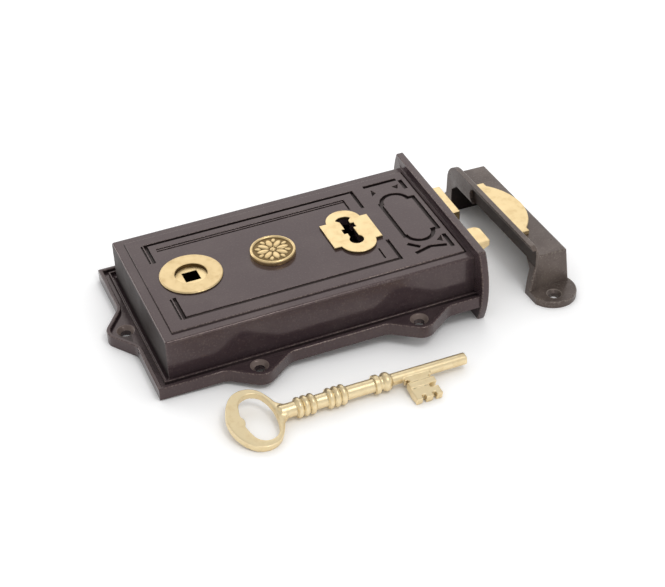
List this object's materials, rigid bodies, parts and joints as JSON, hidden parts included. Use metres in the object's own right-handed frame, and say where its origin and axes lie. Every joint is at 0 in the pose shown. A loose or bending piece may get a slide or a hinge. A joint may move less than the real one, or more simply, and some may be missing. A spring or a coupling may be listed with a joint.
{
  "type": "rim box lock",
  "caption": "Surface-mounted door lock with a cast iron case, brass latch and dead bolt, turning follower, separate keep with a brass strike, and a brass key.",
  "frame": {"origin": "middle of the case's plan on the face that lies against the door", "axes": "+X towards the forend where the bolts come out, +Y towards the dead bolt's side, +Z away from the door"},
  "size_m": [0.2553, 0.1796, 0.048],
  "materials": {
    "lacquered_iron": "cast, dark grey-brown semi-gloss lacquer",
    "satin_brass": "satin polished",
    "plain_steel": "plain rolled"
  },
  "bodies": {
    "lock": {"lock_case": "lacquered_iron", "cap_plate": "plain_steel", "cap_screws": "plain_steel", "spindle_collar": "satin_brass", "back_bush": "satin_brass", "medallion": "satin_brass", "escutcheon": "satin_brass", "latch_guide": "plain_steel", "latch_spring": "plain_steel", "latch_spring_post": "plain_steel", "bolt_guide_stud": "plain_steel", "detent_spring": "plain_steel", "detent_post": "plain_steel", "key_ward": "plain_steel"},
    "follower": {"follower": "satin_brass"},
    "latch": {"latch_head": "satin_brass", "latch_tail": "plain_steel", "latch_rivets": "satin_brass"},
    "dead_bolt": {"dead_bolt_head": "satin_brass", "dead_bolt_tail": "plain_steel", "dead_bolt_rivets": "satin_brass"},
    "keep": {"keep_box": "lacquered_iron", "keep_strike": "satin_brass", "strike_rivets": "satin_brass"},
    "key": {"key": "satin_brass"}
  },
  "joints": [
    {"name": "follower_turn", "type": "hinge", "parent": "lock", "child": "follower", "pos_m": [-0.0564, 0, 0.0145], "axis": [0, 0, -1], "range_deg": [0, 43.6]},
    {"name": "latch_slide", "type": "slide", "parent": "lock", "child": "latch", "axis": [-1, 0, 0], "range_m": [0, 0.0152], "stiffness_N_per_m": 250, "springref_m": -0.008, "deforming": ["latch_spring"]},
    {"name": "dead_bolt_slide", "type": "slide", "parent": "lock", "child": "dead_bolt", "axis": [1, 0, 0], "range_m": [-0.0125, 0], "deforming": ["detent_spring"]},
    {"name": "keep_lift", "type": "slide", "parent": "lock", "child": "keep", "axis": [0.0529, 0, 0.9986], "range_m": [0, 0.06]},
    {"name": "key_lift", "type": "slide", "parent": "lock", "child": "key", "axis": [0.0529, 0, 0.9986], "range_m": [0, 0.08]}
  ],
  "couplings": [
    {"joint": "follower_turn", "follows": "latch_slide", "rad_per_m": 50}
  ]
}
